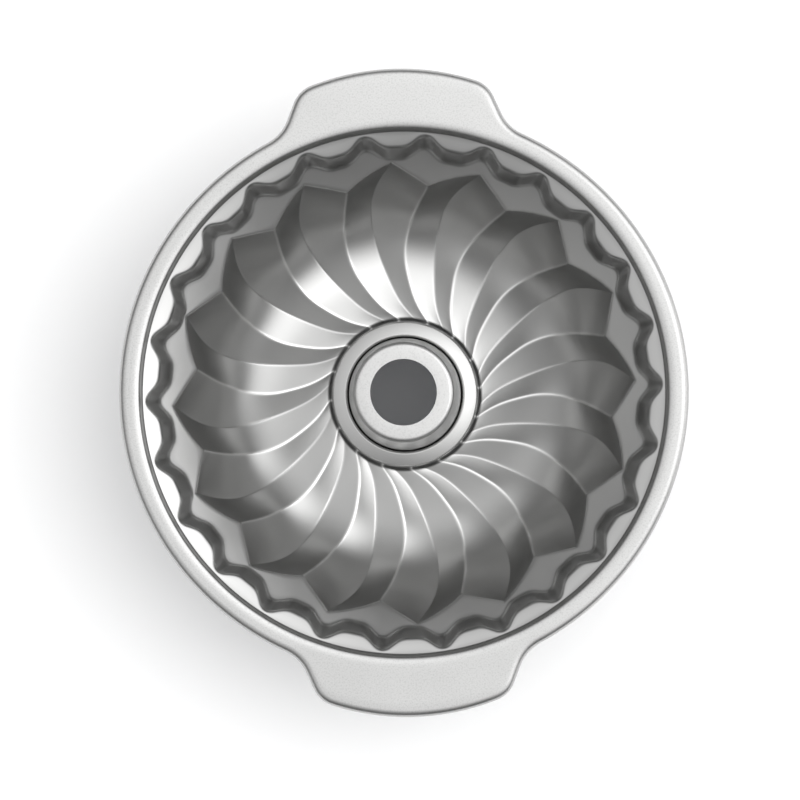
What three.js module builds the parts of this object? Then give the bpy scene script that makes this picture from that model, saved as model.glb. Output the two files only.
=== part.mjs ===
// Fluted tube pan: a drawn steel bowl with swirled flutes, a rim with two handles that is curled
// round a wire, and a tapered centre tube held in the bowl by a lock ring.
// Millimetres, +Z up. The lowest points of the flutes stand on z = 0, the tube is on the Z axis
// and the handles reach out along +Y and -Y.
import * as THREE from 'three';

// Sheet and fits
const SHEET = 1.0;              // thickness of the drawn steel
const GAP = 0.3;                // play between pieces that touch

// Rim and bowl wall, radii from the tube's axis
const RIM_RADIUS = 128;         // outside of the round rim
const RIM_HEIGHT = 90;          // flat rim above the table
const WIRE_RADIUS = 2.0;        // wire inside the curled edge
const CURL_GAP = 0.4;           // play between the wire and the curled edge
const CURL_TURN = 290;          // degrees that the edge turns round the wire
const MOUTH_RADIUS = 118.8;     // top of the upright wall under the rim
const MOUTH_BEND = 3.0;         // bend from the flat rim into the upright wall
const SHELF_RADIUS = 118.0;     // foot of the upright wall, where the shelf starts
const SHELF_HEIGHT = 83;
const SHELF_SLOPE = 0.43;       // fall of the shelf towards the scallops
const SCALLOPS = 26;            // waves round the scalloped wall
const SCALLOP_TOP = { radius: 112.8, wave: 2.8 };    // upper edge of the scalloped wall
const SCALLOP_FOOT = { radius: 108.9, wave: 2.4 };   // its foot, which stands on the cone band
const SCALLOP_POINT = 0.25;     // share of a second wave that makes the outward turns tighter

// Handles
const HANDLE_REACH = 145.8;       // tube axis to the middle of a handle's outer edge
const HANDLE_EDGE_RADIUS = 110;   // curve of that edge
const HANDLE_SIDE = 92;           // tube axis to the line of a handle's straight side
const HANDLE_FLARE = 22.5;        // degrees that the side leans from the handle's own axis
const HANDLE_CORNER = 13.5;       // rounded outer corner
const HANDLE_ROOT = 19;           // hollow curve between the side and the round rim

// Flutes: each is a valley and a ridge that swirl from the hub to an arch at the bowl's wall
const FLUTES = 16;
const FLUTE_PITCH = 360 / FLUTES;
const FIRST_VALLEY = 9.1;       // degrees from +X, where the valley points straight outward
const SWIRL_RADIUS = 79;        // radius where the folds point straight outward
const SWIRL_OUT = 0.0042;       // degrees per square millimetre beyond that radius
const SWIRL_TIP = 2.64e-4;      // degrees per cubic millimetre, the sharper turn at the tips
const SWIRL_IN = 0.0056;        // degrees per square millimetre inside it
const SWIRL_HOOK = 8.8;         // degrees of the hook where the folds reach the hub
const HOOK_POWER = 8;           // how late that hook sets in
const RIDGE_SHARE_HUB = 0.575;  // ridge's place between two valleys, as a share of the pitch
const RIDGE_SHARE_ARCH = 0.32;
const RIDGE_SHIFT = [58, 98];   // radii between which the ridge moves across
const VALLEY_HALF = 0.035;      // half width of a valley's floor, as a share of the pitch
const RIDGE_HALF = 0.035;       // half width of a ridge's crown
const FLUTE_HUB_RADIUS = 36.2;  // inner end of every flute
// Along each fold: height at the hub, low point, steady climb from there, outer end, and the power
// of the superellipse whose quarter the outer wall follows
const VALLEY = { hub: 1.6, lowRadius: 51, low: 0.6, climb: 0, endRadius: 105.6, end: 64, power: 2.3 };
const RIDGE = {
  hub: 2.7, lowRadius: FLUTE_HUB_RADIUS, low: 2.7, climb: 0.12, endRadius: 95.8, end: 57, power: 4,
};
const WALL_FULLNESS = 0.99;     // share of that quarter that the wall uses
const HUB_POWER = 2.5;          // the same for the rise to the hub
const HUB_FULLNESS = 0.85;
const FOOT_RADII = [46, 57];    // the flat feet under the valleys run between these radii

// Hub and tube
const HUB_HEIGHT = 3.4;         // top of the flat ring round the tube
const HUB_HOLE = 28.2;          // hole in the shell
const HUB_EDGE = 35.2;          // outer edge of that flat ring, inside the flutes' ends
const TUBE_FOOT_RADIUS = 26.9;  // outside of the tube where it leaves the hub
const TUBE_TOP_RADIUS = 22.4;   // outside of the tube under its top
const TUBE_HEIGHT = 104;        // flat top of the tube above the table
const TUBE_HOLE = 14.8;         // hole in that top
const TUBE_CORNER = 2.2;        // outer bend at the top
const TUBE_BEND = 1.2;          // hollow bend above the tube's flange
const TUBE_FLANGE_RADIUS = 34.5;
const RING_RADIUS = 34.8;       // outside of the lock ring
const RING_DEPTH = 4.2;         // height of the lock ring at the tube
const RING_FALL = 1.6;          // how far its top falls towards its outer edge
const RING_BEND = 1.3;          // outer bend of its rolled edges

// Facets
const HUB_LEVELS = [0, 0.1];    // innermost rings of the flutes, as shares of their length
const WALL_STEPS = 6;           // facets up the outer wall of a flute
const SCALLOP_STEPS = 6;        // points per scallop
const CURL_STEPS = 7;
const OUTLINE_STEPS = { rim: 13, root: 4, side: 1, corner: 5, edge: 4 };   // for a quarter of the rim
const WIRE_STEPS = 8;
const TURNED_STEPS = 48;        // round the tube and the lock ring
const BEND_DIVISIONS = 1;       // gives two facets on each bend of their outlines

const CURL_RADIUS = WIRE_RADIUS + CURL_GAP + SHEET;
const { lerp, smoothstep, degToRad } = THREE.MathUtils;

// A point at a radius, an angle in degrees and a height
function polar(radius, angle, height) {
  const turn = degToRad(angle);
  return new THREE.Vector3(radius * Math.cos(turn), radius * Math.sin(turn), height);
}

// Rings of points, each anticlockwise from near +X, joined into triangles

// Running angle of every point of a ring, one lap plus the first point again
function runningAngles(ring) {
  const angles = [];
  for (let i = 0; i <= ring.length; i += 1) {
    const point = ring[i % ring.length];
    let angle = Math.atan2(point.y, point.x);
    const last = i === 0 ? 0 : angles[i - 1];
    angle += 2 * Math.PI * Math.round((last - angle) / (2 * Math.PI));
    if (i === ring.length && angle < angles[0] + Math.PI) angle += 2 * Math.PI;
    angles.push(angle);
  }
  return angles;
}

// Triangles between two rings, as index triples; startA and startB number their first points.
// Rings of one count are joined point to point, others by whichever ring is behind in angle.
function stitch(ringA, startA, ringB, startB) {
  const triangles = [];
  const countA = ringA.length;
  const countB = ringB.length;
  const anglesA = runningAngles(ringA);
  const anglesB = runningAngles(ringB);
  let a = 0;
  let b = 0;
  while (a < countA || b < countB) {
    const pairwise = countA === countB;
    const behind = pairwise ? a < b : anglesA[a + 1] < anglesB[b + 1];
    const here = startA + (a % countA);
    const there = startB + (b % countB);
    if (b === countB || (a < countA && behind)) {
      triangles.push(here, there, startA + ((a + 1) % countA));
      a += 1;
    } else {
      triangles.push(here, there, startB + ((b + 1) % countB));
      b += 1;
    }
  }
  return triangles;
}

// Surface through a list of rings; a closed one joins the last ring to the first
function loft(rings, closed) {
  const starts = [];
  const places = [];
  rings.forEach((ring) => {
    starts.push(places.length / 3);
    ring.forEach((point) => places.push(point.x, point.y, point.z));
  });
  const triangles = [];
  const joins = closed ? rings.length : rings.length - 1;
  for (let i = 0; i < joins; i += 1) {
    const next = (i + 1) % rings.length;
    triangles.push(...stitch(rings[i], starts[i], rings[next], starts[next]));
  }
  const geometry = new THREE.BufferGeometry();
  geometry.setAttribute('position', new THREE.Float32BufferAttribute(places, 3));
  geometry.setIndex(triangles);
  geometry.computeVertexNormals();
  return geometry;
}

// Sheet whose upper face runs through the rings, with its lower face one thickness behind but
// pressed flat where it would pass below the table
function sheetFrom(rings) {
  const normals = loft(rings, false).getAttribute('normal');
  let index = 0;
  const back = rings.map((ring) => ring.map((point) => {
    const normal = new THREE.Vector3().fromBufferAttribute(normals, index);
    index += 1;
    const behind = point.clone().addScaledVector(normal, -SHEET);
    behind.z = Math.max(behind.z, 0);
    return behind;
  }));
  return loft([...rings, ...back.reverse()], true);
}

// Outline of the rim: points with outward directions, anticlockwise from +X

function arcOf(centre, radius, from, to, steps, hollow) {
  const stations = [];
  for (let i = 0; i < steps; i += 1) {
    const turn = lerp(from, to, i / steps);
    const ray = new THREE.Vector2(Math.cos(turn), Math.sin(turn));
    const point = centre.clone().addScaledVector(ray, radius);
    stations.push({ point, outward: hollow ? ray.negate() : ray });
  }
  return stations;
}

function mirrored(station) {
  const point = new THREE.Vector2(-station.point.x, station.point.y);
  const outward = new THREE.Vector2(-station.outward.x, station.outward.y);
  return { point, outward };
}

function rimOutline() {
  const flare = degToRad(HANDLE_FLARE);
  const across = new THREE.Vector2(Math.cos(flare), Math.sin(flare));
  const along = new THREE.Vector2(-Math.sin(flare), Math.cos(flare));
  const axis = new THREE.Vector2(0, 0);
  const edgeCentre = new THREE.Vector2(0, HANDLE_REACH - HANDLE_EDGE_RADIUS);

  // Centre of the hollow root: clear of the side line and of the round rim by its radius
  const rootAway = HANDLE_SIDE + HANDLE_ROOT;
  const rootUp = Math.sqrt((RIM_RADIUS + HANDLE_ROOT) ** 2 - rootAway ** 2);
  const rootCentre = across.clone().multiplyScalar(rootAway).addScaledVector(along, rootUp);

  // Centre of the corner: inside the side line and inside the outer edge by its radius
  const cornerAway = HANDLE_SIDE - HANDLE_CORNER;
  const awayFromEdge = cornerAway - edgeCentre.dot(across);
  const cornerUp = edgeCentre.dot(along)
    + Math.sqrt((HANDLE_EDGE_RADIUS - HANDLE_CORNER) ** 2 - awayFromEdge ** 2);
  const cornerCentre = across.clone().multiplyScalar(cornerAway).addScaledVector(along, cornerUp);

  const rootAngle = rootCentre.angle();
  const edgeAngle = cornerCentre.clone().sub(edgeCentre).angle();
  const quarter = [
    ...arcOf(axis, RIM_RADIUS, 0, rootAngle, OUTLINE_STEPS.rim, false),
    ...arcOf(rootCentre, HANDLE_ROOT, rootAngle + Math.PI, flare + Math.PI, OUTLINE_STEPS.root, true),
    ...arcOf(rootCentre, HANDLE_ROOT, flare + Math.PI, flare, OUTLINE_STEPS.side, true),
    ...arcOf(cornerCentre, HANDLE_CORNER, flare, edgeAngle, OUTLINE_STEPS.corner, false),
    ...arcOf(edgeCentre, HANDLE_EDGE_RADIUS, edgeAngle, Math.PI / 2, OUTLINE_STEPS.edge, false),
  ];
  const top = { point: new THREE.Vector2(0, HANDLE_REACH), outward: new THREE.Vector2(0, 1) };
  const half = [...quarter, top, ...quarter.slice(1).reverse().map(mirrored)];
  const turned = half.map(({ point, outward }) => (
    { point: point.clone().negate(), outward: outward.clone().negate() }
  ));
  return [...half, ...turned];
}

const outline = rimOutline();

// Ring that follows the rim's outline at an inset and a height
function insetRing(inset, height) {
  return outline.map(({ point, outward }) => {
    const place = point.clone().addScaledVector(outward, -inset);
    return new THREE.Vector3(place.x, place.y, height);
  });
}

// Round ring whose points stand on the same rays as the outline's
function roundRing(radius, height) {
  return outline.map(({ point }) => {
    const place = point.clone().setLength(radius);
    return new THREE.Vector3(place.x, place.y, height);
  });
}

// Inset and height on a circle that follows the rim, at an angle from straight outward
function rimCircle(radius, angle) {
  const turn = degToRad(angle);
  return insetRing(
    CURL_RADIUS - radius * Math.cos(turn),
    RIM_HEIGHT - CURL_RADIUS + radius * Math.sin(turn),
  );
}

// Flutes

// Degrees that a fold has turned at a radius, against its straight part
function swirl(radius) {
  const out = radius - SWIRL_RADIUS;
  if (out > 0) return -SWIRL_OUT * out ** 2 - SWIRL_TIP * out ** 3;
  const inward = out / (FLUTE_HUB_RADIUS - SWIRL_RADIUS);
  return -SWIRL_IN * out ** 2 - SWIRL_HOOK * inward ** HOOK_POWER;
}

// Ridge's place between its two valleys, as a share of the pitch
function ridgeShare(radius) {
  return lerp(RIDGE_SHARE_HUB, RIDGE_SHARE_ARCH, smoothstep(radius, ...RIDGE_SHIFT));
}

// Share of a fold's full rise at a share of its reach, along a quarter of a superellipse
function rise(reach, fullness, power) {
  const sag = (across) => 1 - (1 - across ** power) ** (1 / power);
  return sag(reach * fullness) / sag(fullness);
}

// Height along a valley or a ridge: from its low point it climbs steadily into the rounded outer
// wall, and towards the hub it rises to its inner end
function foldHeight(fold, radius) {
  const way = radius - fold.lowRadius;
  if (way >= 0) {
    const length = fold.endRadius - fold.lowRadius;
    const wall = fold.end - fold.low - fold.climb * length;
    return fold.low + fold.climb * way + wall * rise(way / length, WALL_FULLNESS, fold.power);
  }
  const inward = way / (FLUTE_HUB_RADIUS - fold.lowRadius);
  return lerp(fold.low, fold.hub, rise(inward, HUB_FULLNESS, HUB_POWER));
}

// Lines that run along a flute: where each stands in the pitch, and its lift from valley to ridge
const FLUTE_LINES = [
  { lift: 0, place: () => -VALLEY_HALF },
  { lift: 0, place: () => VALLEY_HALF },
  { lift: 0.5, place: (share) => (VALLEY_HALF + share - RIDGE_HALF) / 2 },
  { lift: 1, place: (share) => share - RIDGE_HALF },
  { lift: 1, place: (share) => share + RIDGE_HALF },
  { lift: 0.5, place: (share) => (share + RIDGE_HALF + 1 - VALLEY_HALF) / 2 },
];

// Point on one line of one flute; level runs from 0 at the hub to 1 at the arch
function flutePoint(flute, line, level) {
  const valleyRadius = lerp(FLUTE_HUB_RADIUS, VALLEY.endRadius, level);
  const ridgeRadius = lerp(FLUTE_HUB_RADIUS, RIDGE.endRadius, level);
  const valleyHeight = foldHeight(VALLEY, valleyRadius);
  const ridgeHeight = foldHeight(RIDGE, ridgeRadius);
  const radius = lerp(valleyRadius, ridgeRadius, line.lift);
  const height = lerp(valleyHeight, ridgeHeight, line.lift);
  const place = flute + line.place(ridgeShare(radius));
  return polar(radius, FIRST_VALLEY + place * FLUTE_PITCH + swirl(radius), height);
}

// Level of a flute's line at a radius along the valley
function levelAt(radius) {
  return (radius - FLUTE_HUB_RADIUS) / (VALLEY.endRadius - FLUTE_HUB_RADIUS);
}

// Levels up the outer wall, spaced so that the wall turns by about the same angle at each
function wallLevels() {
  const end = Math.asin(WALL_FULLNESS ** (VALLEY.power / 2));
  const levels = [];
  for (let step = 1; step <= WALL_STEPS; step += 1) {
    const reach = Math.sin(end * (step / WALL_STEPS)) ** (2 / VALLEY.power) / WALL_FULLNESS;
    levels.push(levelAt(lerp(VALLEY.lowRadius, VALLEY.endRadius, reach)));
  }
  return levels;
}

function fluteRing(level) {
  const ring = [];
  for (let flute = 0; flute < FLUTES; flute += 1) {
    FLUTE_LINES.forEach((line) => ring.push(flutePoint(flute, line, level)));
  }
  return ring;
}

// Flat ring round the hub, its points in line with the inner ends of the flutes
function hubRing(radius) {
  return fluteRing(0).map((point) => {
    const place = new THREE.Vector2(point.x, point.y).setLength(radius);
    return new THREE.Vector3(place.x, place.y, HUB_HEIGHT);
  });
}

// Height of the cone band above the arches; every valley and ridge ends on it
function coneHeight(radius) {
  const slope = (VALLEY.end - RIDGE.end) / (VALLEY.endRadius - RIDGE.endRadius);
  return VALLEY.end + slope * (radius - VALLEY.endRadius);
}

// Height of the sloping shelf between the scallops and the upright wall
function shelfHeight(radius) {
  return SHELF_HEIGHT + SHELF_SLOPE * (radius - SHELF_RADIUS);
}

// Wavy ring of the scalloped wall, its height a function of the radius
function scallopRing(edge, heightAt) {
  const ring = [];
  for (let i = 0; i < SCALLOPS * SCALLOP_STEPS; i += 1) {
    const phase = 2 * Math.PI * (i / SCALLOP_STEPS);
    const angle = 360 * (i / (SCALLOPS * SCALLOP_STEPS));
    const swing = Math.cos(phase) + SCALLOP_POINT * Math.cos(2 * phase);
    const radius = edge.radius + edge.wave * swing;
    ring.push(polar(radius, angle, heightAt(radius)));
  }
  return ring;
}

// Bowl, rim and handles: one drawn sheet from the hub's hole to the end of the curl
function flutedShell() {
  const levels = [...HUB_LEVELS, ...FOOT_RADII.map(levelAt), ...wallLevels()];
  const bendEnd = degToRad(45);
  const curl = [];
  for (let step = 0; step <= CURL_STEPS; step += 1) {
    curl.push(rimCircle(CURL_RADIUS, 90 - CURL_TURN * (step / CURL_STEPS)));
  }
  return sheetFrom([
    hubRing(HUB_HOLE),
    hubRing(HUB_EDGE),
    ...levels.map(fluteRing),
    scallopRing(SCALLOP_FOOT, coneHeight),
    scallopRing(SCALLOP_TOP, shelfHeight),
    roundRing(SHELF_RADIUS, SHELF_HEIGHT),
    roundRing(MOUTH_RADIUS, RIM_HEIGHT - MOUTH_BEND),
    roundRing(
      MOUTH_RADIUS + MOUTH_BEND * (1 - Math.cos(bendEnd)),
      RIM_HEIGHT - MOUTH_BEND * (1 - Math.sin(bendEnd)),
    ),
    roundRing(MOUTH_RADIUS + MOUTH_BEND, RIM_HEIGHT),
    ...curl,
  ]);
}

// Wire that the curled edge is turned round
function rimWire() {
  const rings = [];
  for (let step = 0; step < WIRE_STEPS; step += 1) {
    rings.push(rimCircle(WIRE_RADIUS, -360 * (step / WIRE_STEPS)));
  }
  return loft(rings, true);
}

// Solid turned round the Z axis from a closed outline of radius and height
function turned(path) {
  const points = path.getPoints(BEND_DIVISIONS);
  points.push(points[0].clone());
  return new THREE.LatheGeometry(points, TURNED_STEPS).rotateX(Math.PI / 2);
}

// Tapered tube: a drawn cup with a pierced top, its flange under the shell's hub
function centreTube() {
  const flangeTop = HUB_HEIGHT - SHEET - GAP;
  const bendRadius = TUBE_FOOT_RADIUS + TUBE_BEND;
  const bendHeight = flangeTop + TUBE_BEND;
  const cornerRadius = TUBE_TOP_RADIUS - TUBE_CORNER;
  const cornerHeight = TUBE_HEIGHT - TUBE_CORNER;
  const path = new THREE.Path();
  path.moveTo(TUBE_FLANGE_RADIUS, flangeTop);
  path.absarc(bendRadius, bendHeight, TUBE_BEND, -Math.PI / 2, -Math.PI, true);
  path.absarc(cornerRadius, cornerHeight, TUBE_CORNER, 0, Math.PI / 2, false);
  path.lineTo(TUBE_HOLE, TUBE_HEIGHT);
  path.lineTo(TUBE_HOLE, TUBE_HEIGHT - SHEET);
  path.absarc(cornerRadius, cornerHeight, TUBE_CORNER - SHEET, Math.PI / 2, 0, true);
  path.absarc(bendRadius, bendHeight, TUBE_BEND + SHEET, -Math.PI, -Math.PI / 2, false);
  path.lineTo(TUBE_FLANGE_RADIUS, flangeTop - SHEET);
  return turned(path);
}

// Lock ring: a pressed channel with a sloping top, pushed down the tube onto the shell's hub
function lockRing() {
  const inside = TUBE_FOOT_RADIUS + GAP;
  const foot = HUB_HEIGHT + GAP;
  const innerBend = new THREE.Vector2(inside + RING_BEND, foot + RING_DEPTH - RING_BEND);
  const outerBend = new THREE.Vector2(RING_RADIUS - RING_BEND, innerBend.y - RING_FALL);
  const upright = Math.PI / 2 - Math.atan2(RING_FALL, outerBend.x - innerBend.x);
  const path = new THREE.Path();
  path.moveTo(RING_RADIUS, foot);
  path.absarc(outerBend.x, outerBend.y, RING_BEND, 0, upright, false);
  path.absarc(innerBend.x, innerBend.y, RING_BEND, upright, Math.PI, false);
  path.lineTo(inside, foot);
  path.lineTo(inside + SHEET, foot);
  path.absarc(innerBend.x, innerBend.y, RING_BEND - SHEET, Math.PI, upright, true);
  path.absarc(outerBend.x, outerBend.y, RING_BEND - SHEET, upright, 0, true);
  path.lineTo(RING_RADIUS - SHEET, foot);
  return turned(path);
}

// Pieces and their metals

function piece(name, geometry, colour, roughness) {
  const material = new THREE.MeshStandardMaterial({ color: colour, roughness, metalness: 1 });
  const mesh = new THREE.Mesh(geometry, material);
  mesh.name = name;
  return mesh;
}

const pan = new THREE.Group();
pan.name = 'fluted_tube_pan';
pan.add(piece('fluted_shell', flutedShell(), 0xc9c9c6, 0.3));
pan.add(piece('centre_tube', centreTube(), 0xcdcdca, 0.28));
pan.add(piece('lock_ring', lockRing(), 0xd2d2cf, 0.28));
pan.add(piece('rim_wire', rimWire(), 0xa8a8a6, 0.4));

export default pan;
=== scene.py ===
# Fluted tube pan in satin steel, seen from almost straight above on a pale floor.
# Shapes are worked out in millimetres and put into the scene in metres.
import math

import bpy
import numpy as np
from mathutils import Matrix, Vector


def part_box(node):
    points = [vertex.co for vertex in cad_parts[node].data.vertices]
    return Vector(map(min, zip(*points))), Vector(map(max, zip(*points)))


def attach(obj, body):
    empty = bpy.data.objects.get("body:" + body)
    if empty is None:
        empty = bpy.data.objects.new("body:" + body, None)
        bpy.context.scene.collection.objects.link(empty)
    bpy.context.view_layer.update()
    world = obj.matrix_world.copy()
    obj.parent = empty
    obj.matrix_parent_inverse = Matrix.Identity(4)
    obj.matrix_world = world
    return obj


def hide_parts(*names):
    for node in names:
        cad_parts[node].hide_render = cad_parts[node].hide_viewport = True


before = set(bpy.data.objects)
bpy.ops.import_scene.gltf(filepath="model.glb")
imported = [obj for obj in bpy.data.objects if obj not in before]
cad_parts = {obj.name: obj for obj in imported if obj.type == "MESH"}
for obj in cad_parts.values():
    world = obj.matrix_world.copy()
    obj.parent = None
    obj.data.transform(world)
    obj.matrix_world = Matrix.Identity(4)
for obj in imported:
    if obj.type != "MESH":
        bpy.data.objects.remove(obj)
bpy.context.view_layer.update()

MM = 0.001

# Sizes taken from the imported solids
RIM_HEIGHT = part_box("fluted_shell")[1].z / MM
HANDLE_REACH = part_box("fluted_shell")[1].y / MM
TUBE_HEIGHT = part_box("centre_tube")[1].z / MM
TUBE_FLANGE_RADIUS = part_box("centre_tube")[1].x / MM
TUBE_FLANGE_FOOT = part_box("centre_tube")[0].z / MM
RING_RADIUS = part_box("lock_ring")[1].x / MM
RING_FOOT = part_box("lock_ring")[0].z / MM
RING_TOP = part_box("lock_ring")[1].z / MM

# Rim and bowl wall
SHEET = 1.0
RIM_RADIUS = 128.0
CURL_RADIUS = 3.4
CURL_TURN = 290.0
MOUTH_RADIUS = 118.8
SHELF_RADIUS = 118.0
SHELF_HEIGHT = 83.0
SHELF_SLOPE = 0.43
SCALLOPS = 26
SCALLOP_TOP = dict(radius=112.8, wave=2.8)
SCALLOP_FOOT = dict(radius=108.9, wave=2.4)
SCALLOP_POINT = 0.25

# Handles
HANDLE_EDGE_RADIUS = 110.0
HANDLE_SIDE = 92.0
HANDLE_FLARE = math.radians(22.5)
HANDLE_CORNER = 13.5
HANDLE_ROOT = 19.0

# Flutes; the swirl is in degrees, from powers of the distance to the swirl radius
FLUTES = 16
FLUTE_PITCH = 360.0 / FLUTES
FIRST_VALLEY = 9.1
SWIRL_RADIUS = 79.0
SWIRL_OUT = 0.0042
SWIRL_TIP = 2.64e-4
SWIRL_IN = 0.0056
SWIRL_HOOK = 8.8
HOOK_POWER = 8
RIDGE_SHARE_HUB = 0.575
RIDGE_SHARE_ARCH = 0.32
RIDGE_SHIFT = dict(start=58.0, end=98.0)
FLUTE_HUB_RADIUS = 36.2
VALLEY = dict(hub=1.6, low_radius=51.0, low=0.6, climb=0.0, end_radius=105.6, end=64.0, power=2.3)
RIDGE = dict(hub=2.7, low_radius=FLUTE_HUB_RADIUS, low=2.7, climb=0.12, end_radius=95.8, end=57.0,
             power=4.0)
WALL_FULLNESS = 0.99
HUB_POWER = 2.5
HUB_FULLNESS = 0.85
VALLEY_ROUND = 0.7
RIDGE_ROUND = 0.8

# Hub, tube and lock ring
HUB_HEIGHT = 3.4
HUB_HOLE = 28.2
HUB_EDGE = 35.2
TUBE_FOOT_RADIUS = 26.9
TUBE_TOP_RADIUS = 22.4
TUBE_HOLE = 14.8
TUBE_CORNER = 2.2
TUBE_BEND = 1.2
RING_BEND = 1.3
RING_FALL = 1.6

# Bends of the sheet: reach from the corner, and rings across the bend
HUB_BEND = dict(reach=0.3, rings=4)
START_BEND = dict(reach=0.5, rings=5)
ARCH_BEND = dict(reach=1.0, rings=5)
FOOT_BEND = dict(reach=1.6, rings=7)
TOP_BEND = dict(reach=1.6, rings=7)
SHELF_BEND = dict(reach=0.5, rings=5)
MOUTH_BEND = dict(wall=1.6, flange=4.0, rings=11)

# Largest share of the way to the next corner that a bend takes
BEND_LIMIT = 0.49

# Rings of points between the bends, from the hub outward
HUB_RINGS = 2
FLUTE_FLOOR_RINGS = 13
FLUTE_WALL_RINGS = 47
CONE_RINGS = 5
WALL_RINGS = 4
SHELF_RINGS = 2
MOUTH_RINGS = 3
FLANGE_RINGS = 4
CURL_RINGS = 25

# Steps round the pan and along an arc of a turned outline, and the angle of a sharp edge
FACE_A_STEPS = 22
FACE_B_STEPS = 17
FLUTE_STEPS = FACE_A_STEPS + FACE_B_STEPS
COLUMNS = FLUTES * FLUTE_STEPS
STEP_EASE = 0.6
TURNED_STEPS = 192
ARC_STEPS = 8
SHARP_ANGLE = math.radians(50.0)

# Painted highlight on the ridges, and painted shade in the hub groove and on the scalloped wall
RIDGE_HIGHLIGHT_REACH = 0.6
GROOVE_SHADE_RIDGE_GAP = 0.6
WALL_PAINTED_SHADE = 0.42

# Looks of the steel; tones are shares of each steel's own tone
CLOUD = dict(scale=45.0, detail=2.0, roughness=0.5)
CLOUD_RANGE = (0.3, 0.7)
CLOUD_TONE = 0.95
GLOSS_SPREAD = 0.04
GRAIN = dict(scale=1400.0, detail=3.0, roughness=0.65)
GRAIN_RANGE = (0.48, 0.68)
GRAIN_TONE = 0.5
# Tones of the painted highlight on the ridges and of the painted shade in the groove and on the wall
RIDGE_HIGHLIGHT_TONE = 1.7
PAINTED_SHADE_TONE = 0.2

# Floor, light and camera: places in metres, angles in degrees, lens and sensor in millimetres
FLOOR_HALF = 12.0
LIGHT_DISTANCE = 2.2
LOW_LAMP = dict(bearing=0.0, tilt=82.0, tall=0.5, wide=1.6, level=1.5)
TENT_DIM = 0.08
TENT_LOBES = [
    dict(bearing=8.0, tilt=40.0, fall=5.0, level=2.9),
    dict(bearing=95.0, tilt=32.0, fall=6.0, level=1.0),
    dict(bearing=185.0, tilt=36.0, fall=5.0, level=0.95),
    dict(bearing=275.0, tilt=32.0, fall=5.0, level=0.3),
]
CAMERA_PLACE = Vector((8.98, -12.32, 1390.0)) * MM
CAMERA_AIM = Vector((-1.78, -3.30, RIM_HEIGHT)) * MM
CAMERA_TURN = 2.0
CAMERA_LENS = 130.5
SENSOR_WIDTH = 36.0


# Points and rings

def lerp(a, b, share):
    return a + (b - a) * share


def unit(vectors):
    return vectors / np.linalg.norm(vectors, axis=-1, keepdims=True)


def polar(radius, angle, height):
    """Points from radius and height in millimetres and angle in degrees."""
    turn = np.radians(angle)
    return np.stack(np.broadcast_arrays(
        radius * np.cos(turn), radius * np.sin(turn), height), axis=-1)


def part_way(corner, neighbour, reach):
    """Points at a reach from a corner towards a neighbour, but not past the middle."""
    way = neighbour - corner
    length = np.linalg.norm(way, axis=-1, keepdims=True)
    return corner + way * np.minimum(reach / length, BEND_LIMIT)


def curve(start, corner, end, rings):
    """Rings from a start to an end, on a curve that bends towards a corner."""
    shares = np.linspace(0.0, 1.0, rings)
    return [lerp(lerp(start, corner, t), lerp(corner, end, t), t) for t in shares]


def soft_corner(before, corner, after, reach, rings):
    """Rings that round a corner, starting and ending at a reach from it."""
    return curve(part_way(corner, before, reach), corner, part_way(corner, after, reach), rings)


def bridge(start, end, rings):
    """Rings spaced evenly between two others."""
    return [lerp(start, end, (i + 1) / (rings + 1)) for i in range(rings)]


# Meshes

def ring_mesh(name, rows, shares=None):
    """Closed mesh from rings of points, each joined to the next and the last to the first."""
    rows = np.asarray(rows)
    count, width = rows.shape[:2]
    index = np.arange(count * width).reshape(count, width)
    ahead = np.roll(index, -1, axis=0)
    quads = np.stack([index, ahead, np.roll(ahead, -1, axis=1), np.roll(index, -1, axis=1)], -1)
    mesh = bpy.data.meshes.new(name)
    mesh.from_pydata((rows.reshape(-1, 3) * MM).tolist(), [], quads.reshape(-1, 4).tolist())
    mesh.polygons.foreach_set("use_smooth", [True] * len(mesh.polygons))
    mesh.set_sharp_from_angle(angle=SHARP_ANGLE)
    for label, values in (shares or {}).items():
        mesh.attributes.new(label, "FLOAT", "POINT").data.foreach_set("value", values.ravel())
    piece = bpy.data.objects.new(name, mesh)
    bpy.context.scene.collection.objects.link(piece)
    return piece


def normals_of(rows):
    """Upward normals of a grid of rings that runs outward from the axis."""
    along = np.gradient(rows, axis=0)
    wrapped = np.concatenate([rows[:, -1:], rows, rows[:, :1]], axis=1)
    across = wrapped[:, 2:] - wrapped[:, :-2]
    return unit(np.cross(along, across))


def sheet_rows(rows):
    """Rings round a sheet whose upper face is given; the feet are flat on the table."""
    back = rows - SHEET * normals_of(rows)
    back[..., 2] = np.maximum(back[..., 2], 0.0)
    return np.concatenate([rows, back[::-1]])


# Rim outline

def ray_to_circle(rays, centre, radius, far):
    """Distance along each ray from the axis to a circle, at its far or near side."""
    along = rays @ centre
    half = np.sqrt(np.maximum(radius ** 2 - (centre @ centre - along ** 2), 0.0))
    return along + half if far else along - half


def ray_to_line(rays, direction, distance):
    """Distance along each ray from the axis to a line; very far on rays that miss it."""
    nearly_parallel = 1e-6
    return distance / np.maximum(rays @ direction, nearly_parallel)


def bearing_of(point):
    return math.atan2(point[1], point[0])


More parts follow.
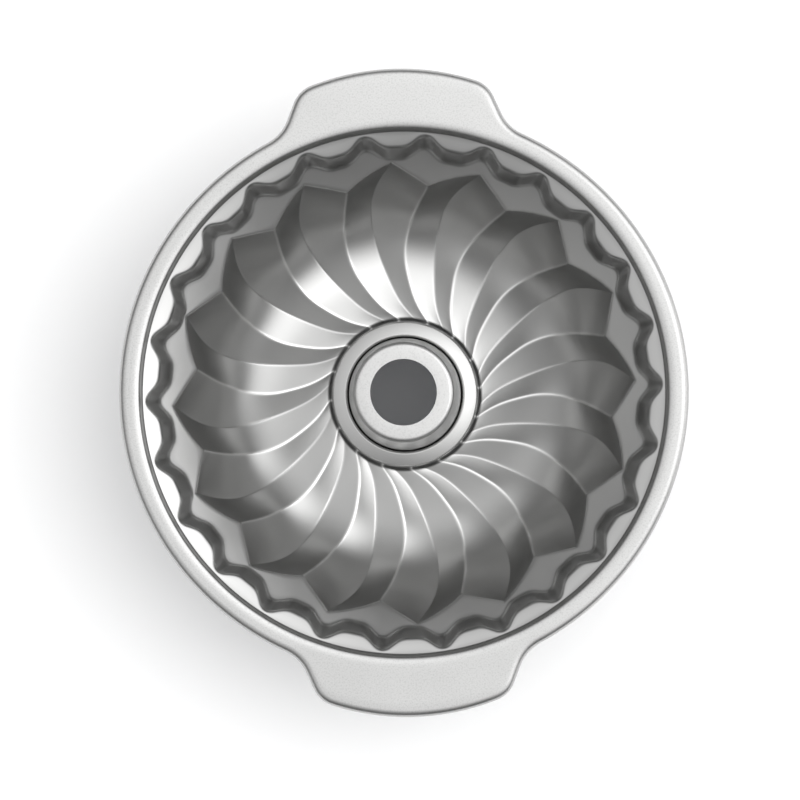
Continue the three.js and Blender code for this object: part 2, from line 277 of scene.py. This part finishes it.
def rim_outline(angles):
    """Points on the rim's outline at angles in degrees, with their outward directions."""
    turn = np.radians(angles)
    rays = np.stack([np.cos(turn), np.sin(turn)], axis=-1)
    quarter = np.abs(rays)
    signs = np.where(rays < 0, -1.0, 1.0)
    across = np.array([math.cos(HANDLE_FLARE), math.sin(HANDLE_FLARE)])
    along = np.array([-math.sin(HANDLE_FLARE), math.cos(HANDLE_FLARE)])
    edge_centre = np.array([0.0, HANDLE_REACH - HANDLE_EDGE_RADIUS])

    root_away = HANDLE_SIDE + HANDLE_ROOT
    root_up = math.sqrt((RIM_RADIUS + HANDLE_ROOT) ** 2 - root_away ** 2)
    root_centre = root_away * across + root_up * along
    corner_away = HANDLE_SIDE - HANDLE_CORNER
    edge_away = corner_away - edge_centre @ across
    edge_up = math.sqrt((HANDLE_EDGE_RADIUS - HANDLE_CORNER) ** 2 - edge_away ** 2)
    corner_up = edge_centre @ along + edge_up
    corner_centre = corner_away * across + corner_up * along

    edge_point = edge_centre + HANDLE_EDGE_RADIUS * unit(corner_centre - edge_centre)
    ends = [
        bearing_of(root_centre),
        bearing_of(root_centre - HANDLE_ROOT * across),
        bearing_of(corner_centre + HANDLE_CORNER * across),
        bearing_of(edge_point),
    ]
    distances = [
        np.full(len(angles), RIM_RADIUS),
        ray_to_circle(quarter, root_centre, HANDLE_ROOT, far=False),
        ray_to_line(quarter, across, HANDLE_SIDE),
        ray_to_circle(quarter, corner_centre, HANDLE_CORNER, far=True),
        ray_to_circle(quarter, edge_centre, HANDLE_EDGE_RADIUS, far=True),
    ]
    stretch = np.searchsorted(ends, np.arctan2(quarter[:, 1], quarter[:, 0]))
    points = quarter * np.choose(stretch, distances)[:, None]
    outward = np.choose(stretch[:, None], [
        quarter,
        unit(root_centre - points),
        np.broadcast_to(across, points.shape),
        unit(points - corner_centre),
        unit(points - edge_centre),
    ])
    return points * signs, outward * signs


def rim_curl(angles):
    """Rings round the curled edge, from the end of the flat rim to the end of the curl."""
    points, outward = rim_outline(angles)
    rings = []
    for turn in np.radians(90.0 - np.linspace(0.0, CURL_TURN, CURL_RINGS)):
        place = points - CURL_RADIUS * (1 - math.cos(turn)) * outward
        height = RIM_HEIGHT - CURL_RADIUS * (1 - math.sin(turn))
        rings.append(np.column_stack([place, np.full(len(place), height)]))
    return rings


# Flutes

def swirl(radius):
    """Degrees that a fold has turned at a radius, against its straight part."""
    out = radius - SWIRL_RADIUS
    outer = -SWIRL_OUT * out ** 2 - SWIRL_TIP * out ** 3
    hook = SWIRL_HOOK * (out / (FLUTE_HUB_RADIUS - SWIRL_RADIUS)) ** HOOK_POWER
    return np.where(out > 0, outer, -SWIRL_IN * out ** 2 - hook)


def ridge_share(radius):
    """Ridge's place between its two valleys, as a share of the pitch; it shifts smoothly."""
    way = (radius - RIDGE_SHIFT["start"]) / (RIDGE_SHIFT["end"] - RIDGE_SHIFT["start"])
    way = np.clip(way, 0.0, 1.0)
    return lerp(RIDGE_SHARE_HUB, RIDGE_SHARE_ARCH, way * way * (3 - 2 * way))


def rise(reach, fullness, power):
    """Share of a fold's full rise at a share of its reach, along a quarter superellipse."""
    def sag(across):
        return 1 - (1 - across ** power) ** (1 / power)
    return sag(reach * fullness) / sag(fullness)


def fold_height(fold, radius):
    """Height along a valley or a ridge: a low point, a steady climb and a rounded wall."""
    way = radius - fold["low_radius"]
    if way >= 0:
        length = fold["end_radius"] - fold["low_radius"]
        wall = fold["end"] - fold["low"] - fold["climb"] * length
        climbed = fold["low"] + fold["climb"] * way
        return climbed + wall * rise(way / length, WALL_FULLNESS, fold["power"])
    inward = way / (FLUTE_HUB_RADIUS - fold["low_radius"])
    return lerp(fold["low"], fold["hub"], rise(inward, HUB_FULLNESS, HUB_POWER))


def eased(share):
    """Steps from 0 to 1 that are closer together at both ends."""
    return share - STEP_EASE * np.sin(2 * np.pi * share) / (2 * np.pi)


# Place of every column on its flute: lift from valley to ridge, face and number
FACE_A = eased(np.arange(FACE_A_STEPS) / FACE_A_STEPS)
FACE_B = eased(np.arange(FACE_B_STEPS) / FACE_B_STEPS)
PLAIN_LIFT = np.tile(np.concatenate([FACE_A, 1.0 - FACE_B]), FLUTES)
ON_FACE_B = np.tile(np.arange(FLUTE_STEPS) >= FACE_A_STEPS, FLUTES)
FLUTE_NUMBER = np.repeat(np.arange(FLUTES), FLUTE_STEPS)


def rounded_lift(valley_half, ridge_half):
    """Lift from valley to ridge, with both folds rounded over a share of the face."""
    low = np.where(PLAIN_LIFT < valley_half,
                   (PLAIN_LIFT ** 2 + valley_half ** 2) / (2 * valley_half), PLAIN_LIFT)
    drop = 1.0 - low
    drop = np.where(drop < ridge_half, (drop ** 2 + ridge_half ** 2) / (2 * ridge_half), drop)
    lift = 1.0 - drop
    return (lift - valley_half / 2) / (1.0 - valley_half / 2 - ridge_half / 2)


def flute_ring(level):
    """Radius, angle and height across all flutes; level runs from 0 at the hub to 1 at the arches."""
    valley_radius = lerp(FLUTE_HUB_RADIUS, VALLEY["end_radius"], level)
    ridge_radius = lerp(FLUTE_HUB_RADIUS, RIDGE["end_radius"], level)
    radius = lerp(valley_radius, ridge_radius, PLAIN_LIFT)
    face = math.radians(FLUTE_PITCH / 2) * lerp(valley_radius, ridge_radius, 0.5)
    lift = rounded_lift(VALLEY_ROUND / face, RIDGE_ROUND / face)
    height = lerp(fold_height(VALLEY, valley_radius), fold_height(RIDGE, ridge_radius), lift)
    share = ridge_share(radius)
    place = np.where(ON_FACE_B, lerp(1.0, share, PLAIN_LIFT), share * PLAIN_LIFT)
    angle = FIRST_VALLEY + (FLUTE_NUMBER + place) * FLUTE_PITCH + swirl(radius)
    return radius, angle, height


def flute_levels():
    """Levels of the flutes' rings: even over the floor, then by even turns up the valleys' wall."""
    length = VALLEY["end_radius"] - FLUTE_HUB_RADIUS
    floor_end = (VALLEY["low_radius"] - FLUTE_HUB_RADIUS) / length
    floor = np.linspace(0.0, floor_end, FLUTE_FLOOR_RINGS, endpoint=False)
    turn_end = math.asin(WALL_FULLNESS ** (VALLEY["power"] / 2))
    turns = np.linspace(0.0, turn_end, FLUTE_WALL_RINGS, endpoint=False)
    reach = np.sin(turns) ** (2 / VALLEY["power"]) / WALL_FULLNESS
    return np.concatenate([floor, lerp(floor_end, 1.0, reach)])


def near_ridge(level):
    """Closeness to the ridges across the flutes at a level, used for the painted highlight: full on
    the ridges, none on the faces.
    """
    radius = lerp(FLUTE_HUB_RADIUS, RIDGE["end_radius"], level)
    away = (1.0 - PLAIN_LIFT) * math.radians(FLUTE_PITCH / 2) * radius
    return np.exp(-(away / RIDGE_HIGHLIGHT_REACH) ** 2)


# Cone band, scallops and shelf

def cone_height(radius):
    """Height of the cone band, on which every valley and ridge ends."""
    slope = (VALLEY["end"] - RIDGE["end"]) / (VALLEY["end_radius"] - RIDGE["end_radius"])
    return VALLEY["end"] + slope * (radius - VALLEY["end_radius"])


def on_cone(ring):
    """Ring moved up or down onto the cone band."""
    return np.column_stack([ring[:, :2], cone_height(np.hypot(ring[:, 0], ring[:, 1]))])


def shelf_height(radius):
    """Height of the sloping shelf above the scalloped wall."""
    return SHELF_HEIGHT + SHELF_SLOPE * (radius - SHELF_RADIUS)


def scallop_ring(scallop, angle, height_at):
    """Ring of scallops with slightly pointed humps, on a face whose height is given."""
    phase = np.radians(angle * SCALLOPS)
    swing = np.cos(phase) + SCALLOP_POINT * np.cos(2 * phase)
    radius = scallop["radius"] + scallop["wave"] * swing
    return polar(radius, angle, height_at(radius))


# Pieces

def shell_painted_light(stretches, levels):
    """Shares of painted highlight and painted shade on the points of the shell; its underside has
    neither.
    """
    ridge_highlight = {name: np.zeros((len(rings), COLUMNS)) for name, rings in stretches.items()}
    painted_shade = {name: np.zeros((len(rings), COLUMNS)) for name, rings in stretches.items()}
    # Painted highlight: the ridges are lightened where they would catch light
    ridge_highlight["flutes"][:] = [near_ridge(level) for level in levels[1:]]
    # Painted shade: the groove round the lock ring is darkened, less so at the ridge ends
    painted_shade["groove"][:] = 1.0 - GROOVE_SHADE_RIDGE_GAP * near_ridge(levels[0])
    # Painted shade: the scalloped wall is darkened, most of all halfway up
    up_wall = np.linspace(0.0, np.pi, len(stretches["wall"]))[:, None]
    painted_shade["wall"][:] = WALL_PAINTED_SHADE * np.sin(up_wall)
    underside = np.zeros((sum(map(len, stretches.values())), COLUMNS))
    return dict(ridge_highlight=np.concatenate([*ridge_highlight.values(), underside]),
                painted_shade=np.concatenate([*painted_shade.values(), underside]))


def fluted_shell():
    """Bowl, wall, rim and handles as one sheet, from the hub's hole to the end of the curl."""
    levels = flute_levels()
    flutes = [polar(*flute_ring(level)) for level in levels]
    hub_angle = flute_ring(levels[0])[1]
    hub_hole = polar(HUB_HOLE, hub_angle, HUB_HEIGHT)
    hub_edge = polar(HUB_EDGE, hub_angle, HUB_HEIGHT)
    hub = [hub_hole, *bridge(hub_hole, hub_edge, HUB_RINGS)]

    last_ring = flute_ring(1.0)
    arch = on_cone(polar(*last_ring))
    angle = last_ring[1][0] + 360.0 * np.arange(COLUMNS) / COLUMNS
    foot = scallop_ring(SCALLOP_FOOT, angle, cone_height)
    top = scallop_ring(SCALLOP_TOP, angle, shelf_height)
    shelf = polar(SHELF_RADIUS, angle, SHELF_HEIGHT)
    mouth = polar(MOUTH_RADIUS, angle, RIM_HEIGHT)
    curl = rim_curl(angle)

    hub_bend = soft_corner(hub[-1], hub_edge, flutes[0], **HUB_BEND)
    start_bend = soft_corner(hub_edge, flutes[0], flutes[1], **START_BEND)
    arch_bend = soft_corner(flutes[-1], arch, foot, **ARCH_BEND)
    foot_bend = soft_corner(arch, foot, top, **FOOT_BEND)
    top_bend = soft_corner(foot, top, shelf, **TOP_BEND)
    shelf_bend = soft_corner(top, shelf, mouth, **SHELF_BEND)
    bend_start = mouth + MOUTH_BEND["wall"] * unit(shelf - mouth)
    bend_end = mouth + MOUTH_BEND["flange"] * unit(curl[0] - mouth)
    mouth_bend = curve(bend_start, mouth, bend_end, MOUTH_BEND["rings"])

    stretches = dict(
        hub=hub,
        groove=[*hub_bend, *start_bend],
        flutes=flutes[1:],
        cone=[*arch_bend, *map(on_cone, bridge(arch_bend[-1], foot_bend[0], CONE_RINGS))],
        wall=[*foot_bend, *bridge(foot_bend[-1], top_bend[0], WALL_RINGS), *top_bend],
        shelf=[*bridge(top_bend[-1], shelf_bend[0], SHELF_RINGS), *shelf_bend],
        mouth=[*bridge(shelf_bend[-1], mouth_bend[0], MOUTH_RINGS), *mouth_bend],
        rim=[*bridge(mouth_bend[-1], curl[0], FLANGE_RINGS), *curl],
    )
    rows = np.concatenate(list(stretches.values()))
    return ring_mesh("pan_shell", sheet_rows(rows), shell_painted_light(stretches, levels))


def arc(centre, radius, start, end):
    """Points on an arc of a turned outline, angles in degrees."""
    turns = np.radians(np.linspace(start, end, ARC_STEPS + 1))
    return [(centre[0] + radius * math.cos(t), centre[1] + radius * math.sin(t)) for t in turns]


def turned(name, outline):
    """Solid turned round the Z axis from a closed outline of radius and height."""
    angles = 360.0 * np.arange(TURNED_STEPS) / TURNED_STEPS
    return ring_mesh(name, [polar(radius, angles, height) for radius, height in outline[::-1]])


def centre_tube():
    """Tapered tube with a flange at its foot and a pierced flat top, drawn from sheet."""
    flange_top = TUBE_FLANGE_FOOT + SHEET
    bend = (TUBE_FOOT_RADIUS + TUBE_BEND, flange_top + TUBE_BEND)
    corner = (TUBE_TOP_RADIUS - TUBE_CORNER, TUBE_HEIGHT - TUBE_CORNER)
    return turned("pan_tube", [
        (TUBE_FLANGE_RADIUS, flange_top),
        *arc(bend, TUBE_BEND, -90, -180),
        *arc(corner, TUBE_CORNER, 0, 90),
        (TUBE_HOLE, TUBE_HEIGHT),
        (TUBE_HOLE, TUBE_HEIGHT - SHEET),
        *arc(corner, TUBE_CORNER - SHEET, 90, 0),
        *arc(bend, TUBE_BEND + SHEET, -180, -90),
        (TUBE_FLANGE_RADIUS, TUBE_FLANGE_FOOT),
    ])


def lock_ring():
    """Pressed ring round the foot of the tube, open below, with a top that falls outward."""
    inside = TUBE_FOOT_RADIUS + RING_FOOT - HUB_HEIGHT
    inner = (inside + RING_BEND, RING_TOP - RING_BEND)
    outer = (RING_RADIUS - RING_BEND, inner[1] - RING_FALL)
    upright = 90.0 - math.degrees(math.atan2(RING_FALL, outer[0] - inner[0]))
    return turned("pan_lock_ring", [
        (RING_RADIUS, RING_FOOT),
        *arc(outer, RING_BEND, 0, upright),
        *arc(inner, RING_BEND, upright, 180),
        (inside, RING_FOOT),
        (inside + SHEET, RING_FOOT),
        *arc(inner, RING_BEND - SHEET, 180, upright),
        *arc(outer, RING_BEND - SHEET, upright, 0),
        (RING_RADIUS - SHEET, RING_FOOT),
    ])


# Materials

def shade(tone, share=1.0):
    """Colour at a share of a tone's brightness."""
    return (*[channel * share for channel in tone], 1.0)


def noise(tree, place, pattern):
    """Cloudy pattern at a place in the piece."""
    texture = tree.nodes.new("ShaderNodeTexNoise")
    texture.inputs["Scale"].default_value = pattern["scale"]
    texture.inputs["Detail"].default_value = pattern["detail"]
    texture.inputs["Roughness"].default_value = pattern["roughness"]
    tree.links.new(place, texture.inputs["Vector"])
    return texture.outputs["Fac"]


def stored_share(tree, label):
    """Share that is stored on a piece's points; none where a piece stores nothing."""
    stored = tree.nodes.new("ShaderNodeAttribute")
    stored.attribute_name = label
    return stored.outputs["Fac"]


def ranged(tree, value, start, end):
    """Node that carries a value from the range between start and end to one from 0 to 1."""
    mapped = tree.nodes.new("ShaderNodeMapRange")
    mapped.inputs["From Min"].default_value = start
    mapped.inputs["From Max"].default_value = end
    tree.links.new(value, mapped.inputs["Value"])
    return mapped


def blend(tree, factor, base, colour):
    """Base that goes over to a colour with a factor."""
    mix = tree.nodes.new("ShaderNodeMix")
    mix.data_type = "RGBA"
    mix.inputs["B"].default_value = colour
    tree.links.new(factor, mix.inputs["Factor"])
    tree.links.new(base, mix.inputs["A"])
    return mix.outputs["Result"]


def cloudy_tone(tree, cloud, tone):
    """Tone that is a little darker where the cloud is thin."""
    colour = tree.nodes.new("ShaderNodeValToRGB")
    dark, light = colour.color_ramp.elements
    dark.position, light.position = CLOUD_RANGE
    dark.color = shade(tone, CLOUD_TONE)
    light.color = shade(tone)
    tree.links.new(cloud, colour.inputs["Fac"])
    return colour.outputs["Color"]


def rim_specks(tree, place, grain):
    """Fine grain that is full at the rim's height and fades out down to the shelf."""
    axes = tree.nodes.new("ShaderNodeSeparateXYZ")
    tree.links.new(place, axes.inputs["Vector"])
    height = ranged(tree, axes.outputs["Z"], SHELF_HEIGHT * MM, RIM_HEIGHT * MM)
    height.inputs["To Max"].default_value = grain
    specks = ranged(tree, noise(tree, place, GRAIN), *GRAIN_RANGE)
    tree.links.new(height.outputs["Result"], specks.inputs["To Max"])
    return specks.outputs["Result"]


def steel(name, tone, roughness, grain):
    """Satin steel: cloudy tone and gloss, painted highlight on edges, painted shade in grooves, and
    grain.
    """
    material = bpy.data.materials.new(name)
    material.use_nodes = True
    tree = material.node_tree
    shader = tree.nodes["Principled BSDF"]
    shader.inputs["Metallic"].default_value = 1.0
    place = tree.nodes.new("ShaderNodeTexCoord").outputs["Object"]
    cloud = noise(tree, place, CLOUD)

    gloss = ranged(tree, cloud, *CLOUD_RANGE)
    gloss.inputs["To Min"].default_value = roughness
    gloss.inputs["To Max"].default_value = roughness + GLOSS_SPREAD
    tree.links.new(gloss.outputs["Result"], shader.inputs["Roughness"])

    plain = cloudy_tone(tree, cloud, tone)
    # Painted highlight along the ridges, then painted shade in the hub groove and on the scalloped
    # wall
    highlighted = blend(tree, stored_share(tree, "ridge_highlight"), plain, shade(tone, RIDGE_HIGHLIGHT_TONE))
    painted_shade = blend(tree, stored_share(tree, "painted_shade"), highlighted, shade(tone, PAINTED_SHADE_TONE))
    grained = blend(tree, rim_specks(tree, place, grain), painted_shade, shade(tone, GRAIN_TONE))
    tree.links.new(grained, shader.inputs["Base Color"])
    return material


def floor_paint():
    """Matt white paint with a faint cool glow, which keeps shadows pale."""
    material = bpy.data.materials.new("floor_paint")
    material.use_nodes = True
    shader = material.node_tree.nodes["Principled BSDF"]
    shader.inputs["Base Color"].default_value = (0.96, 0.96, 0.96, 1.0)
    shader.inputs["Roughness"].default_value = 0.9
    shader.inputs["Specular IOR Level"].default_value = 0.1
    shader.inputs["Emission Color"].default_value = (0.9, 0.92, 1.0, 1.0)
    shader.inputs["Emission Strength"].default_value = 0.042
    return material


def dress(piece, material, node):
    """Give a piece its material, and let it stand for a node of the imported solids."""
    piece.data.materials.append(material)
    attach(piece, "root")
    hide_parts(node)


shell_steel = steel("shell_steel", tone=(0.47, 0.47, 0.466), roughness=0.28, grain=0.4)
tube_steel = steel("tube_steel", tone=(0.48, 0.48, 0.476), roughness=0.28, grain=0.3)
ring_steel = steel("ring_steel", tone=(0.43, 0.43, 0.426), roughness=0.22, grain=0.0)
wire_steel = steel("wire_steel", tone=(0.45, 0.45, 0.44), roughness=0.40, grain=0.0)

dress(fluted_shell(), shell_steel, "fluted_shell")
dress(centre_tube(), tube_steel, "centre_tube")
dress(lock_ring(), ring_steel, "lock_ring")
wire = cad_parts["rim_wire"]
wire.data.materials.clear()
wire.data.materials.append(wire_steel)


# Floor, light and camera

def make_floor():
    """Flat square floor, wide enough to fill low views."""
    mesh = bpy.data.meshes.new("floor")
    signs = [(-1, -1), (1, -1), (1, 1), (-1, 1)]
    mesh.from_pydata([(x * FLOOR_HALF, y * FLOOR_HALF, 0) for x, y in signs], [], [(0, 1, 2, 3)])
    mesh.materials.append(floor_paint())
    floor = bpy.data.objects.new("floor", mesh)
    bpy.context.scene.collection.objects.link(floor)


def turned_from_up(bearing, tilt):
    """Turn that takes straight up to a bearing and a tilt off the vertical, in degrees."""
    lean = Matrix.Rotation(math.radians(tilt), 4, "Y")
    return Matrix.Rotation(math.radians(bearing), 4, "Z") @ lean


def softbox(name, bearing, tilt, tall, wide, level):
    """Soft light that faces the pan, from its direction, size and brightness."""
    light = bpy.data.lights.new(name, "AREA")
    light.shape = "RECTANGLE"
    light.size = tall
    light.size_y = wide
    light.energy = level * math.pi * tall * wide
    lamp = bpy.data.objects.new(name, light)
    outward = Matrix.Translation((0.0, 0.0, LIGHT_DISTANCE))
    lamp.matrix_world = turned_from_up(bearing, tilt) @ outward
    bpy.context.scene.collection.objects.link(lamp)


def make_world():
    """Light tent: dim all round, with soft bright lobes that add up."""
    world = bpy.data.worlds.new("studio")
    world.use_nodes = True
    nodes = world.node_tree.nodes
    link = world.node_tree.links.new
    place = nodes.new("ShaderNodeTexCoord")
    total = None
    for lobe in TENT_LOBES:
        towards = turned_from_up(lobe["bearing"], lobe["tilt"]).to_3x3().col[2]
        facing = nodes.new("ShaderNodeVectorMath")
        facing.operation = "DOT_PRODUCT"
        facing.inputs[1].default_value = towards
        link(place.outputs["Generated"], facing.inputs[0])
        fall = nodes.new("ShaderNodeMath")
        fall.operation = "POWER"
        fall.use_clamp = True
        fall.inputs[1].default_value = lobe["fall"]
        link(facing.outputs["Value"], fall.inputs[0])
        added = nodes.new("ShaderNodeMath")
        added.operation = "MULTIPLY_ADD"
        added.inputs[1].default_value = lobe["level"]
        added.inputs[2].default_value = TENT_DIM
        link(fall.outputs["Value"], added.inputs[0])
        if total:
            link(total, added.inputs[2])
        total = added.outputs["Value"]
    sky = nodes["Background"]
    sky.inputs["Color"].default_value = (1.0, 1.0, 1.0, 1.0)
    link(total, sky.inputs["Strength"])
    bpy.context.scene.world = world


def make_camera():
    """Camera almost straight above, turned a little against the handles."""
    turn = math.radians(CAMERA_TURN)
    up = Vector((math.sin(turn), math.cos(turn), 0.0))
    back = (CAMERA_PLACE - CAMERA_AIM).normalized()
    right = up.cross(back).normalized()
    rotation = Matrix((right, back.cross(right), back)).transposed()
    data = bpy.data.cameras.new("camera")
    data.sensor_width = SENSOR_WIDTH
    data.lens = CAMERA_LENS
    camera = bpy.data.objects.new("camera", data)
    camera.matrix_world = Matrix.Translation(CAMERA_PLACE) @ rotation.to_4x4()
    bpy.context.scene.collection.objects.link(camera)
    bpy.context.scene.camera = camera


make_floor()
make_world()
softbox("low_right", **LOW_LAMP)
make_camera()
bpy.context.scene.view_settings.view_transform = "Standard"
